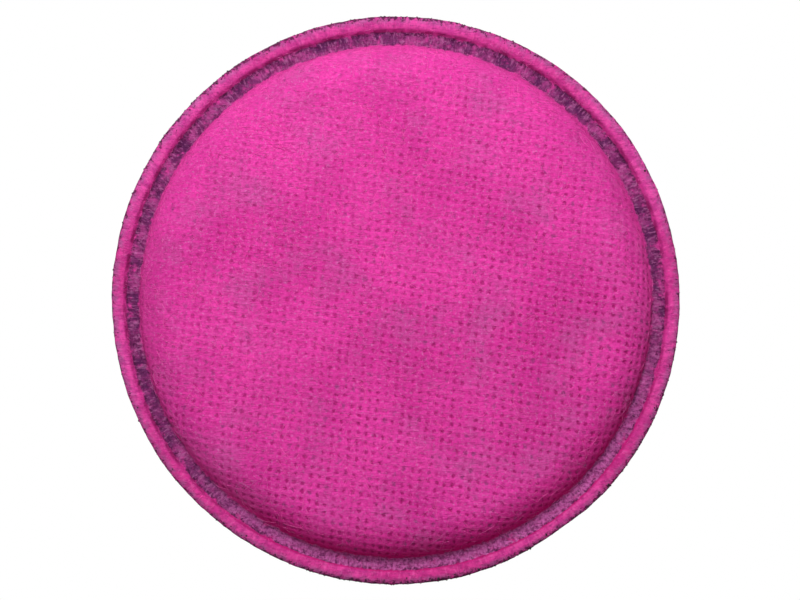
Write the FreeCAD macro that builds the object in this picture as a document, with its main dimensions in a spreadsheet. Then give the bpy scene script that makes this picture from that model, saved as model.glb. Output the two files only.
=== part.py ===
"""Round respirator filter disc: ten webs welded at the rim, an air spacer and a bayonet fitting.

Millimetres. The disc's axis lies along Y. The origin is the centre of the sealing face at the
back, +Y points out of the fitting's socket, and the front cover faces -Y. +Z is up.
"""

import FreeCAD, Part
import os
import Sketcher

from FreeCAD import Placement, Rotation, Vector

os.makedirs("parts", exist_ok=True)
document = FreeCAD.newDocument("filter_disc")

# ---------------------------------------------------------------- driving sizes

SIZES = [
    # the pad's plan, from the rim inwards
    ("disc_radius", 52.5, "cut edge of the disc"),
    ("bead_width", 2.8, "loose rounded edge outside the weld"),
    ("weld_width", 2.2, "flat band where all the webs are welded"),
    ("shoulder_width", 7.0, "curved stretch from the weld up to the plateau"),
    ("crown_height", 1.5, "extra height of the front wall at its centre"),
    # each web: its thickness, its thickness in the weld, and what it springs back by in the bead
    ("cover_web_thickness", 0.35, "spunbond cover"),
    ("cover_web_weld", 0.10, ""),
    ("cover_web_loft", 0.10, ""),
    ("carbon_web_thickness", 1.00, "carbon-loaded web"),
    ("carbon_web_weld", 0.15, ""),
    ("carbon_web_loft", 0.35, ""),
    ("outer_felt_thickness", 1.10, "first filter felt"),
    ("outer_felt_weld", 0.12, ""),
    ("outer_felt_loft", 0.23, ""),
    ("inner_felt_thickness", 1.10, "second filter felt"),
    ("inner_felt_weld", 0.12, ""),
    ("inner_felt_loft", 0.18, ""),
    ("inner_scrim_thickness", 0.25, "thin web on the inside"),
    ("inner_scrim_weld", 0.08, ""),
    ("inner_scrim_loft", 0.07, ""),
    # the air spacer between the two walls
    ("spacer_height", 4.0, "air gap between the walls"),
    ("spacer_edge_gap", 1.0, "spacer's rim to the end of the plateau"),
    ("spacer_clearance", 0.5, "spacer's inner ring to the clamp flange"),
    ("spacer_ring_width", 1.0, ""),
    ("spacer_ring_height", 1.2, ""),
    ("spacer_rib_width", 1.0, ""),
    ("spacer_rib_count", 24, ""),
    # the collar at the back
    ("socket_radius", 18.0, "bore that takes the facepiece's port"),
    ("collar_wall", 1.8, ""),
    ("collar_height", 7.5, "bottom of the flange to the sealing face"),
    ("lip_reach", 1.8, "sealing lip beyond the collar's wall"),
    ("lip_thickness", 1.2, ""),
    ("lip_chamfer", 0.3, ""),
    ("flange_overlap", 5.5, "flange beyond the hole in the rear wall"),
    ("flange_thickness", 1.6, ""),
    ("flange_fillet", 0.6, ""),
    ("seat_reach", 1.0, "ring at the socket's floor, inside its bore"),
    ("seat_thickness", 1.2, "floor ring and grille"),
    ("grille_spoke_width", 1.4, ""),
    ("grille_spoke_count", 6, ""),
    ("grille_ring_radius", 9.0, "inner edge of the grille's ring"),
    ("grille_ring_width", 1.2, ""),
    ("grille_hub_radius", 2.6, ""),
    # the bayonet tabs inside the collar
    ("mouth_depth", 1.0, "shallow counterbore in front of the tabs"),
    ("mouth_reach", 0.4, "counterbore beyond the socket's bore"),
    ("tab_count", 3, ""),
    ("tab_reach", 2.4, "tab's height above the bore"),
    ("tab_thickness", 1.8, ""),
    ("tab_angle", 34.0, "degrees of the full tab"),
    ("lead_angle", 8.0, "degrees of its thinner leading end"),
    ("lead_thickness", 1.0, ""),
    ("stop_angle", 5.0, "degrees of the stop under the tab's closed end"),
    ("stop_depth", 1.6, "stop's length below the tab"),
    ("notch_width", 3.0, "index notch in the lip"),
    ("notch_depth", 1.2, ""),
    # what joins the fitting to the rear wall
    ("tube_wall", 1.6, "tube of the clamp flange"),
    ("hole_clearance", 0.4, "tube to the hole in the rear wall"),
    ("clamp_overlap", 5.0, "clamp flange beyond the hole"),
    ("clamp_thickness", 1.2, ""),
    ("adhesive_thickness", 0.4, ""),
    ("adhesive_margin", 0.8, "adhesive to the flange's edge and to the hole"),
    # the baffle in front of the outlet
    ("baffle_inset", 1.5, "baffle's edge inside the clamp flange's"),
    ("baffle_thickness", 0.8, ""),
    ("leg_count", 3, ""),
    ("leg_radius", 1.2, ""),
    ("leg_inset", 2.2, "leg's axis from the baffle's edge"),
]

sheet = document.addObject("Spreadsheet::Sheet", "Sizes")
for row, (alias, value, note) in enumerate(SIZES, start=1):
    sheet.set(f"A{row}", str(value))
    sheet.setAlias(f"A{row}", alias)
    sheet.set(f"B{row}", note)
document.recompute()


class Size:
    """A value together with the formula that gives it from the sheet."""

    def __init__(self, value, formula):
        self.value = value
        self.formula = formula

    def combined(self, other, sign, value):
        formula = other.formula if isinstance(other, Size) else str(other)
        return Size(value, f"({self.formula} {sign} {formula})")

    def __add__(self, other):
        return self.combined(other, "+", self.value + number(other))

    def __sub__(self, other):
        return self.combined(other, "-", self.value - number(other))

    def __truediv__(self, other):
        return self.combined(other, "/", self.value / number(other))

    def __neg__(self):
        return Size(-self.value, f"(0 - {self.formula})")


def number(size):
    return size.value if isinstance(size, Size) else size


def size(alias):
    return Size(float(sheet.get(alias)), f"Sizes.{alias}")


def total(sizes):
    result = sizes[0]
    for one in sizes[1:]:
        result = result + one
    return result


# ---------------------------------------------------------------- places worked out from the sizes

WEBS = ["cover_web", "carbon_web", "outer_felt", "inner_felt", "inner_scrim"]  # outside to inside

rim_radius = size("disc_radius")
weld_outer_radius = rim_radius - size("bead_width")
weld_inner_radius = weld_outer_radius - size("weld_width")
plateau_radius = weld_inner_radius - size("shoulder_width")
bead_crest_radius = rim_radius - size("bead_width") / 2

socket_radius = size("socket_radius")
mouth_radius = socket_radius + size("mouth_reach")
collar_radius = socket_radius + size("collar_wall")
throat_radius = socket_radius - size("seat_reach")
tube_radius = throat_radius + size("tube_wall")
hole_radius = tube_radius + size("hole_clearance")
flange_radius = hole_radius + size("flange_overlap")
clamp_radius = hole_radius + size("clamp_overlap")
lip_radius = collar_radius + size("lip_reach")

# depths below the sealing face, towards the front
wall_thickness = total([size(f"{web}_thickness") for web in WEBS])
rear_cover_depth = size("collar_height") + size("adhesive_thickness")
rear_inside_depth = rear_cover_depth + wall_thickness
middle_depth = rear_inside_depth + size("spacer_height") / 2
front_inside_depth = rear_inside_depth + size("spacer_height")


# ---------------------------------------------------------------- helpers

# how Sketcher numbers its axes, its origin and the points of an edge
ORIGIN_POINT = (-1, 1)
AXIS = {"across": -1, "up": -2}
POINT = {"start": 1, "end": 2, "centre": 3}
FULL_TURN = 360
SAME_PLACE = 1e-4
FACING_BACK = Rotation()
FACING_FRONT = Rotation(Vector(1, 0, 0), 180)  # turns a wall drawn towards +Y to face -Y


def new_body(label, depth, rotation=FACING_BACK):
    """An empty body whose local origin lies on the axis, this far below the sealing face."""
    body = document.addObject("PartDesign::Body", label)
    body.Label = label
    body.Placement = Placement(Vector(0, -depth.value, 0), rotation)
    body.setExpression("Placement.Base.y", f"0 - {depth.formula}")
    return body


def new_sketch(body, name, plane, height=None):
    """A sketch on one of the body's own origin planes; height lifts it along +Y off XZ_Plane."""
    sketch = body.newObject("Sketcher::SketchObject", f"{body.Name}_{name}")
    support = [feature for feature in body.Origin.OriginFeatures if feature.Role == plane][0]
    sketch.AttachmentSupport = (support, [""])
    sketch.MapMode = "FlatFace"
    if height is not None:
        sketch.setExpression("AttachmentOffset.Base.z", f"0 - {height.formula}")
    return sketch


def fix_point(sketch, edge, point, across, up):
    """Holds a point at its distances from the sketch's axes; a distance of 0 is on the axis."""
    for kind, axis, place in (("DistanceX", AXIS["up"], across), ("DistanceY", AXIS["across"], up)):
        if place == 0:
            sketch.addConstraint(Sketcher.Constraint("PointOnObject", edge, point, axis))
        else:
            held = Sketcher.Constraint(kind, *ORIGIN_POINT, edge, point, place.value)
            sketch.setExpression(f"Constraints[{sketch.addConstraint(held)}]", place.formula)


def level_arc(start, end, level_at_start):
    """The arc between two points that runs level at one of them, with its centre straight below."""
    level, other = (start, end) if level_at_start else (end, start)
    run, drop = other.x - level.x, level.y - other.y
    radius = (run * run + drop * drop) / (2 * drop)
    centre = Vector(level.x, level.y - radius, 0)
    right, left = (end, start) if end.x > start.x else (start, end)
    halfway = centre + ((right - centre) + (left - centre)).normalize() * radius
    return Part.Arc(right, halfway, left)


def draw_loop(sketch, corners):
    """A closed loop of (across, up, edge to the next corner).

    An edge is "line", "level_start" or "level_end": the last two are arcs that run level at that
    end, as the crown does on the axis and the bead does at its crest.
    """
    first = sketch.GeometryCount
    points = [Vector(number(across), number(up), 0) for across, up, _ in corners]
    turned = corners[1:] + corners[:1]
    first_points, last_points = [], []
    for start, end, (_, _, edge) in zip(points, points[1:] + points[:1], corners):
        if edge == "line":
            sketch.addGeometry(Part.LineSegment(start, end), False)
        else:
            sketch.addGeometry(level_arc(start, end, edge == "level_start"), False)
        backwards = edge != "line" and end.x > start.x  # an arc always runs anticlockwise
        first_points.append(POINT["end" if backwards else "start"])
        last_points.append(POINT["start" if backwards else "end"])
    for index, ((across, up, edge), after) in enumerate(zip(corners, turned)):
        following = (index + 1) % len(corners)
        sketch.addConstraint(
            Sketcher.Constraint(
                "Coincident",
                first + index,
                last_points[index],
                first + following,
                first_points[following],
            )
        )
        fix_point(sketch, first + index, first_points[index], across, up)
        if edge == "line":
            continue
        level_across = across if edge == "level_start" else after[0]
        if level_across == 0:
            sketch.addConstraint(
                Sketcher.Constraint("PointOnObject", first + index, POINT["centre"], AXIS["up"])
            )
        else:
            below = Sketcher.Constraint(
                "DistanceX", *ORIGIN_POINT, first + index, POINT["centre"], level_across.value
            )
            sketch.setExpression(f"Constraints[{sketch.addConstraint(below)}]", level_across.formula)


def rectangle(left, right, bottom, top):
    return [
        (left, bottom, "line"),
        (right, bottom, "line"),
        (right, top, "line"),
        (left, top, "line"),
    ]


def draw_circle(sketch, across, radius):
    """A circle centred on the sketch's across axis."""
    centre = Vector(number(across), 0, 0)
    edge = sketch.addGeometry(Part.Circle(centre, Vector(0, 0, 1), radius.value), False)
    fix_point(sketch, edge, POINT["centre"], across, 0)
    row = sketch.addConstraint(Sketcher.Constraint("Radius", edge, radius.value))
    sketch.setExpression(f"Constraints[{row}]", radius.formula)


def bind(feature, name, amount):
    feature.setExpression(name, amount.formula)


def revolve(body, name, loops, angle=None):
    """Turns the loops about the body's Y axis, all the way round or through an angle."""
    sketch = new_sketch(body, f"{name}_outline", "XY_Plane")
    for loop in loops:
        draw_loop(sketch, loop)
    feature = body.newObject("PartDesign::Revolution", f"{body.Name}_{name}")
    feature.Profile = sketch
    feature.ReferenceAxis = (sketch, ["V_Axis"])
    feature.Angle = FULL_TURN
    if angle is not None:
        bind(feature, "Angle", angle)
    document.recompute()
    return feature


def raise_from(body, name, length, draw):
    """Pads what draw() puts on the body's XZ plane, towards +Y."""
    sketch = new_sketch(body, f"{name}_outline", "XZ_Plane")
    draw(sketch)
    feature = body.newObject("PartDesign::Pad", f"{body.Name}_{name}")
    feature.Profile = sketch
    feature.Reversed = True
    bind(feature, "Length", length)
    document.recompute()
    return feature


def repeat_round(body, name, features, count):
    """Copies features evenly round the body's Y axis."""
    axis = [feature for feature in body.Origin.OriginFeatures if feature.Role == "Y_Axis"][0]
    pattern = body.newObject("PartDesign::PolarPattern", f"{body.Name}_{name}")
    pattern.Originals = features
    pattern.Axis = (axis, [""])
    pattern.Angle = FULL_TURN
    pattern.Occurrences = int(count.value)
    bind(pattern, "Occurrences", count)
    body.Tip = pattern
    document.recompute()
    return pattern


def circle_edges(body, radius, height):
    """Names of the round edges about the axis with this radius, at this height in the body."""
    base = body.Tip
    names = []
    for index, edge in enumerate(base.Shape.Edges, start=1):
        curve = edge.Curve
        if not isinstance(curve, Part.Circle):
            continue
        centred = abs(curve.Center.x) < SAME_PLACE and abs(curve.Center.z) < SAME_PLACE
        same_radius = abs(curve.Radius - radius.value) < SAME_PLACE
        if centred and same_radius and abs(curve.Center.y - number(height)) < SAME_PLACE:
            names.append(f"Edge{index}")
    return (base, names)


def soften(body, kind, name, edges, property_name, amount):
    """A fillet or chamfer on named edges of the body's last feature."""
    feature = body.newObject(f"PartDesign::{kind}", f"{body.Name}_{name}")
    feature.Base = edges
    bind(feature, property_name, amount)
    document.recompute()
    return feature


# ---------------------------------------------------------------- the webs of the two walls


def boundary(level, front):
    """The surface under the first `level` webs, from the axis or the fitting's hole to the rim."""
    inside = WEBS[level:]
    plateau_height = total([size("spacer_height") / 2] + [size(f"{web}_thickness") for web in inside])
    start = (0, plateau_height + size("crown_height"), "level_start")
    if not front:
        start = (hole_radius, plateau_height, "line")
    corners = [start, (plateau_radius, plateau_height, "level_start")]
    if not inside:
        return corners + [(weld_inner_radius, 0, "line"), (rim_radius, 0, "line")]
    weld_height = total([size(f"{web}_weld") for web in inside])
    crest_height = weld_height + total([size(f"{web}_loft") for web in inside])
    return corners + [
        (weld_inner_radius, weld_height, "line"),
        (weld_outer_radius, weld_height, "level_end"),
        (bead_crest_radius, crest_height, "level_start"),
        (rim_radius, weld_height, "line"),
    ]


def walked_inwards(corners):
    """The same boundary from the rim to the axis, with each edge named for its new direction."""
    turned = {"line": "line", "level_start": "level_end", "level_end": "level_start"}
    inwards = []
    for index in range(len(corners) - 1, -1, -1):
        across, up, _ = corners[index]
        edge = turned[corners[index - 1][2]] if index else "line"
        inwards.append((across, up, edge))
    return inwards


def make_web(level, front):
    """One web of a wall: level 0 is the cover web, the last is the scrim inside."""
    side, rotation = ("front", FACING_FRONT) if front else ("rear", FACING_BACK)
    body = new_body(f"{side}_{WEBS[level]}", middle_depth, rotation)
    loop = boundary(level, front) + walked_inwards(boundary(level + 1, front))
    revolve(body, "web", [loop])


# ---------------------------------------------------------------- the air spacer


def make_spacer_grid():
    """Radial ribs as tall as the air gap, on three low rings halfway up."""
    body = new_body("spacer_grid", front_inside_depth)
    ring = size("spacer_ring_width")
    inner = clamp_radius + size("spacer_clearance")
    outer = plateau_radius - size("spacer_edge_gap")
    middle = (inner + outer - ring) / 2
    bottom = (size("spacer_height") - size("spacer_ring_height")) / 2
    top = bottom + size("spacer_ring_height")
    rings = [rectangle(left, left + ring, bottom, top) for left in (inner, middle, outer - ring)]
    revolve(body, "rings", rings)
    half_rib = size("spacer_rib_width") / 2
    rib = rectangle(inner + ring / 2, outer - ring / 2, -half_rib, half_rib)
    height = size("spacer_height")
    pad = raise_from(body, "rib", height, lambda sketch: draw_loop(sketch, rib))
    repeat_round(body, "ribs", [pad], size("spacer_rib_count"))


# ---------------------------------------------------------------- the fitting


def make_bayonet_collar():
    """The outside half of the fitting, from the flange up to the sealing face."""
    body = new_body("bayonet_collar", size("collar_height"))
    top = size("collar_height")
    lip_base = top - size("lip_thickness")
    profile = [
        (throat_radius, 0, "line"),
        (flange_radius, 0, "line"),
        (flange_radius, size("flange_thickness"), "line"),
        (collar_radius, size("flange_thickness"), "line"),
        (collar_radius, lip_base, "line"),
        (lip_radius, lip_base, "line"),
        (lip_radius, top, "line"),
        (mouth_radius, top, "line"),
        (mouth_radius, top - size("mouth_depth"), "line"),
        (socket_radius, top - size("mouth_depth"), "line"),
        (socket_radius, size("seat_thickness"), "line"),
        (throat_radius, size("seat_thickness"), "line"),
    ]
    revolve(body, "shell", [profile])
    flange_edge = circle_edges(body, flange_radius, size("flange_thickness"))
    soften(body, "Fillet", "flange_edge", flange_edge, "Radius", size("flange_fillet"))
    collar_root = circle_edges(body, collar_radius, size("flange_thickness"))
    soften(body, "Fillet", "collar_root", collar_root, "Radius", size("flange_fillet"))
    lip_edge = circle_edges(body, lip_radius, top)
    soften(body, "Chamfer", "lip_edge", lip_edge, "Size", size("lip_chamfer"))
    add_grille(body)
    add_tabs(body, top)
    cut_notch(body, lip_base)


def add_grille(body):
    """Spokes, a ring and a hub across the socket's floor."""
    thickness = size("seat_thickness")
    ring_inner = size("grille_ring_radius")
    ring = rectangle(ring_inner, ring_inner + size("grille_ring_width"), 0, thickness)
    hub = rectangle(0, size("grille_hub_radius"), 0, thickness)
    half_spoke = size("grille_spoke_width") / 2
    reach = throat_radius + size("seat_reach") / 2
    spoke_loop = rectangle(0, reach, -half_spoke, half_spoke)
    spoke = raise_from(body, "spoke", thickness, lambda sketch: draw_loop(sketch, spoke_loop))
    repeat_round(body, "spokes", [spoke], size("grille_spoke_count"))
    revolve(body, "ring_and_hub", [ring, hub])


def add_tabs(body, top):
    """Tabs with a thinner leading end and a stop, spaced round the bore below its mouth."""
    outside = socket_radius + size("collar_wall") / 2
    inside = socket_radius - size("tab_reach")
    tab_top = top - size("mouth_depth")
    tab_base = tab_top - size("tab_thickness")
    lead_base = tab_top - size("lead_thickness")
    stop_base = tab_base - size("stop_depth")
    tab = revolve(body, "tab", [rectangle(inside, outside, tab_base, tab_top)], size("tab_angle"))
    lead_end = size("tab_angle") + size("lead_angle")
    lead = revolve(body, "lead", [rectangle(inside, outside, lead_base, tab_top)], lead_end)
    stop = revolve(body, "stop", [rectangle(inside, outside, stop_base, tab_top)], size("stop_angle"))
    repeat_round(body, "tabs", [tab, lead, stop], size("tab_count"))


def cut_notch(body, lip_base):
    """An index notch in the outside of the sealing lip, at the top of the disc."""
    sketch = new_sketch(body, "notch_outline", "XZ_Plane", lip_base)
    half_notch = size("notch_width") / 2
    inner = lip_radius - size("notch_depth")
    outer = lip_radius + size("notch_depth")
    draw_loop(sketch, rectangle(-half_notch, half_notch, inner, outer))
    uncut_volume = body.Tip.Shape.Volume
    notch = body.newObject("PartDesign::Pocket", f"{body.Name}_notch")
    notch.Profile = sketch
    bind(notch, "Length", size("lip_thickness"))
    document.recompute()
    if notch.Shape.Volume >= uncut_volume:
        raise RuntimeError("the notch cuts nothing")


def make_clamp_flange():
    """The inside half of the fitting: a flat flange, and a tube up through the rear wall."""
    thickness = size("clamp_thickness")
    body = new_body("clamp_flange", rear_inside_depth + thickness)
    tube_top = thickness + wall_thickness + size("adhesive_thickness")
    profile = [
        (throat_radius, 0, "line"),
        (clamp_radius, 0, "line"),
        (clamp_radius, thickness, "line"),
        (tube_radius, thickness, "line"),
        (tube_radius, tube_top, "line"),
        (throat_radius, tube_top, "line"),
    ]
    revolve(body, "shell", [profile])


def make_adhesive_ring():
    """The hot-melt ring between the collar's flange and the rear cover web."""
    body = new_body("adhesive_ring", rear_cover_depth)
    margin = size("adhesive_margin")
    ring = rectangle(hole_radius + margin, flange_radius - margin, 0, size("adhesive_thickness"))
    revolve(body, "ring", [ring])


def make_baffle_plate():
    """A plate in front of the outlet, on legs that stand on the clamp flange."""
    body = new_body("baffle_plate", front_inside_depth)
    baffle_radius = clamp_radius - size("baffle_inset")
    revolve(body, "plate", [rectangle(0, baffle_radius, 0, size("baffle_thickness"))])
    leg_pitch = baffle_radius - size("leg_inset")
    leg_top = size("spacer_height") - size("clamp_thickness")
    leg = raise_from(
        body, "leg", leg_top, lambda sketch: draw_circle(sketch, leg_pitch, size("leg_radius"))
    )
    repeat_round(body, "legs", [leg], size("leg_count"))


# ---------------------------------------------------------------- build, test and export

for web_level in range(len(WEBS)):
    make_web(web_level, front=True)
    make_web(web_level, front=False)
make_spacer_grid()
make_baffle_plate()
make_clamp_flange()
make_adhesive_ring()
make_bayonet_collar()
document.recompute()

for item in document.Objects:
    if {"Invalid", "Error"} & set(item.State):
        raise RuntimeError(f"{item.Label} failed: {item.State}")

bodies = [item for item in document.Objects if item.TypeId == "PartDesign::Body"]
for body in bodies:
    if body.Shape.isNull() or not body.Shape.isValid() or len(body.Shape.Solids) != 1:
        raise RuntimeError(f"{body.Label} is not one valid solid")
for body in bodies:
    body.Shape.exportStep(f"parts/{body.Label}.step")
    print(f"{body.Label}: {body.Shape.Volume:.1f} mm3")
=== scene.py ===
"""Looks of a round respirator filter disc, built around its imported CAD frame.

Metres, in the frame of the CAD part: the disc's axis lies along Y, the front cover faces -Y, the
origin is the centre of the collar's sealing face and +Z is up. Lengths of the textile are written
in millimetres and scaled by MM.
"""

import math
import random

import bmesh
import bpy
import numpy as np
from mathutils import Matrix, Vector, noise


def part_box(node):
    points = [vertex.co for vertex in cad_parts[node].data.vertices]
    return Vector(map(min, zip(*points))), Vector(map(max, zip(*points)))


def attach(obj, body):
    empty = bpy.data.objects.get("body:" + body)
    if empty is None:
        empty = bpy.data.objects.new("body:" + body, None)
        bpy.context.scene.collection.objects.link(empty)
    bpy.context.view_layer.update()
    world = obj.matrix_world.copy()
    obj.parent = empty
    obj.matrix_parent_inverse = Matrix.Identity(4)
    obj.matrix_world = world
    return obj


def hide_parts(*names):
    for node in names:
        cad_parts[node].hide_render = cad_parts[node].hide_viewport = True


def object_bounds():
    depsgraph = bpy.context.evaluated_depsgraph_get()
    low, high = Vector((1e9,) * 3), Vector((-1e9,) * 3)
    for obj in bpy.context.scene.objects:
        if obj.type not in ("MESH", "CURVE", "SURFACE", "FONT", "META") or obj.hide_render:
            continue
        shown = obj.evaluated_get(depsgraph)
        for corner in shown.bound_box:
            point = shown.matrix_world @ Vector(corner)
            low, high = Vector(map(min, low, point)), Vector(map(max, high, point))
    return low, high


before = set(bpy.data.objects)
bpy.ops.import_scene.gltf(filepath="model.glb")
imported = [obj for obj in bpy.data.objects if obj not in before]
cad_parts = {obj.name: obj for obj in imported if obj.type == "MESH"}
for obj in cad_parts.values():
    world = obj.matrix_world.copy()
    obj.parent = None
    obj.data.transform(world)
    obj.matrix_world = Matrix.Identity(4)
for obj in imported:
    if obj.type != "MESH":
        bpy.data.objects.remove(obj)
cad_low, cad_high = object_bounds()

MM = 0.001
BODY = "root"

# ---- the pad's sizes, in millimetres

RIM_RADIUS = (cad_high.x - cad_low.x) / 2 / MM
BEAD_WIDTH = 2.8
WELD_WIDTH = 2.2
SHOULDER_WIDTH = 7.0
WELD_OUTER = RIM_RADIUS - BEAD_WIDTH
WELD_INNER = WELD_OUTER - WELD_WIDTH
PLATEAU_RADIUS = WELD_INNER - SHOULDER_WIDTH

rear_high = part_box("rear_cover_web")[1]
front_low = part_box("front_cover_web")[0]
scrim_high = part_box("front_inner_scrim")[1]
MIDDLE_DEPTH = -scrim_high.y / MM  # where the two walls meet, below the sealing face
CROWN = 1.5
REAR_HEIGHT = MIDDLE_DEPTH + rear_high.y / MM
FRONT_HEIGHT = -front_low.y / MM - MIDDLE_DEPTH  # at the centre, crown included
COVER_THICKNESS = 0.35
EDGE_THICKNESS = 0.13  # of the cover where it is pinched at the cut edge
WELD_HEIGHT = 0.57
BEAD_RISE = 1.02
EDGE_HEIGHT = 1.12  # the cover's cut edge above the middle plane
HOLE_RADIUS = 19.0
FLANGE_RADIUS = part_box("bayonet_collar")[1].x / MM
WELD_DROP = 0.22  # the weld and the dome sit this much lower than the cut edge

# bond points of the cover: one step along a row and one up a column, on the flat web
ROW_STEP = np.array((1.525, -0.285))
COLUMN_STEP = np.array((0.155, 1.575))
GRID_PER_BOND = 5
RING_POINTS = 900
INNER_RING_POINTS = 150
PATH_STEP = 0.05

# the faces between the webs, from the carbon's outer one to the scrim's inner one: how deep on the
# dome, and which share of the height under the cover in the weld and the bead
DOME_DEPTHS = (COVER_THICKNESS, 1.35, 2.45, 3.55, 3.80)
RIM_SHARES = (0.0, 0.46, 0.72, 0.93, 1.0)
WEB_RINGS = (8, 6, 10)  # over the plateau, over the shoulder, and out to the rim
CARBON_RINGS = (12, 8, 14)
RAGGEDNESS = 0.13  # of the inner webs' cut edges
GRANULES = 1300
GRANULE_RADII = (0.07, 0.17)

# directions round the disc, anticlockwise from +X as seen from the front, read off the photograph
# the lower side, where light and shade are painted most
PAINTED_LIGHT_TOWARDS = math.radians(285)
GRIT_AXIS = math.radians(105)
FLAT_AT = math.radians(304)
FLAT_HALF_WIDTH = 0.16  # radians
FLAT_DEPTH = 0.48
PITTED_TOWARDS = np.array((0.64, -0.77))

# the strands that lie on a cover
FRONT_STRANDS, REAR_STRANDS = 3200, 2600
STRAND_JOINTS = 7
STRANDS_ON_BEAD = 0.14
LOOSE_STRANDS = 0.12
DOME_STRAND_LENGTHS = (1.2, 6.0)
BEAD_STRAND_LENGTHS = (0.5, 1.8)
LOOSE_HEIGHTS = (0.10, 0.35)
STRAND_RADII = (0.016, 0.032)


# ---- small helpers


def smoothstep(low, high, value):
    t = np.clip((value - low) / (high - low), 0.0, 1.0)
    return t * t * (3.0 - 2.0 * t)


def band(rise, fall, value, depth=1.0):
    """Up over the first pair, and down again by depth over the second."""
    return smoothstep(*rise, value) * (1.0 - depth * smoothstep(*fall, value))


def bump_window(centre, half_width, value):
    """1 at the centre, falling smoothly to 0 at half_width."""
    return 1.0 - smoothstep(0.0, half_width, np.abs(value - centre))


def field(u, v, wavelength, seed):
    """Smooth noise in -1..1 at points of the flat web, in millimetres."""
    shift = seed * 17.31
    return np.array(
        [noise.noise((a / wavelength, b / wavelength, shift)) for a, b in zip(u, v)]
    )


def onto_circle(u, v, radius):
    """The points of a circle that lie in the same directions as u, v."""
    angle = np.arctan2(v, u)
    return np.cos(angle) * radius, np.sin(angle) * radius


def cell_random(i, j, seed):
    """The same random number in 0..1 for every point of a cell."""
    mixed = np.sin(i * 12.9898 + j * 78.233 + seed * 37.719) * 43758.5453
    return mixed - np.floor(mixed)


# ---- the profile of a wall


def level_arc(level, other, count=60):
    """Points from a level end, where the arc runs flat, to its other end."""
    run, drop = other[0] - level[0], level[1] - other[1]
    radius = (run * run + drop * drop) / (2 * drop)
    turn = math.asin(abs(run) / radius)
    angles = np.linspace(0.0, turn, count)
    across = level[0] + math.copysign(1, run) * radius * np.sin(angles)
    return np.column_stack((across, level[1] - radius * (1 - np.cos(angles))))


class Profile:
    """A wall's cross-section: radius and height against the distance along the web."""

    def __init__(self, height, crown, inner_radius):
        weld = WELD_HEIGHT
        crest = (RIM_RADIUS - BEAD_WIDTH * 0.40, weld + BEAD_RISE)
        shoulder_top = (PLATEAU_RADIUS, height - crown)
        start = (inner_radius, height)
        pieces = [
            level_arc(start, shoulder_top) if crown else np.linspace(start, shoulder_top, 60),
            level_arc(shoulder_top, (WELD_INNER, weld)),
            np.linspace((WELD_INNER, weld), (WELD_OUTER, weld), 20),
            level_arc(crest, (WELD_OUTER, weld))[::-1],
            level_arc(crest, (RIM_RADIUS, EDGE_HEIGHT)),
        ]
        points = np.concatenate(pieces)
        steps = np.hypot(*np.diff(points, axis=0).T)
        keep = np.concatenate(([True], steps > 1e-6))
        points = points[keep]
        along = np.concatenate(([0.0], np.cumsum(np.hypot(*np.diff(points, axis=0).T))))
        s = np.arange(0.0, along[-1], PATH_STEP)
        radius, up = (self.softened(np.interp(s, along, points[:, k])) for k in (0, 1))
        # distances are counted from the axis, so that a web with a hole keeps its lattice
        self.s = s + inner_radius
        self.radius, self.up = radius, up
        slope_r, slope_h = np.gradient(radius, s), np.gradient(up, s)
        size = np.hypot(slope_r, slope_h)
        self.normal_r, self.normal_h = -slope_h / size, slope_r / size
        self.weld_inner = self.s[np.argmin(np.abs(radius - WELD_INNER))]
        self.weld_outer = self.s[np.argmin(np.abs(radius - WELD_OUTER))]
        self.plateau = self.s[np.argmin(np.abs(radius - PLATEAU_RADIUS))]
        self.rim = self.s[-1]

    @staticmethod
    def softened(values, reach=0.28):
        """The welded creases are a little round: a short Gaussian along the path."""
        half = int(3 * reach / PATH_STEP)
        kernel = np.exp(-0.5 * (np.arange(-half, half + 1) * PATH_STEP / reach) ** 2)
        kernel /= kernel.sum()
        before = 2 * values[0] - values[half:0:-1]
        after = 2 * values[-1] - values[-2 : -half - 2 : -1]
        return np.convolve(np.concatenate((before, values, after)), kernel, "valid")

    def at(self, s):
        return [
            np.interp(s, self.s, curve)
            for curve in (self.radius, self.up, self.normal_r, self.normal_h)
        ]


# ---- the relief of a cover web


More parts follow.
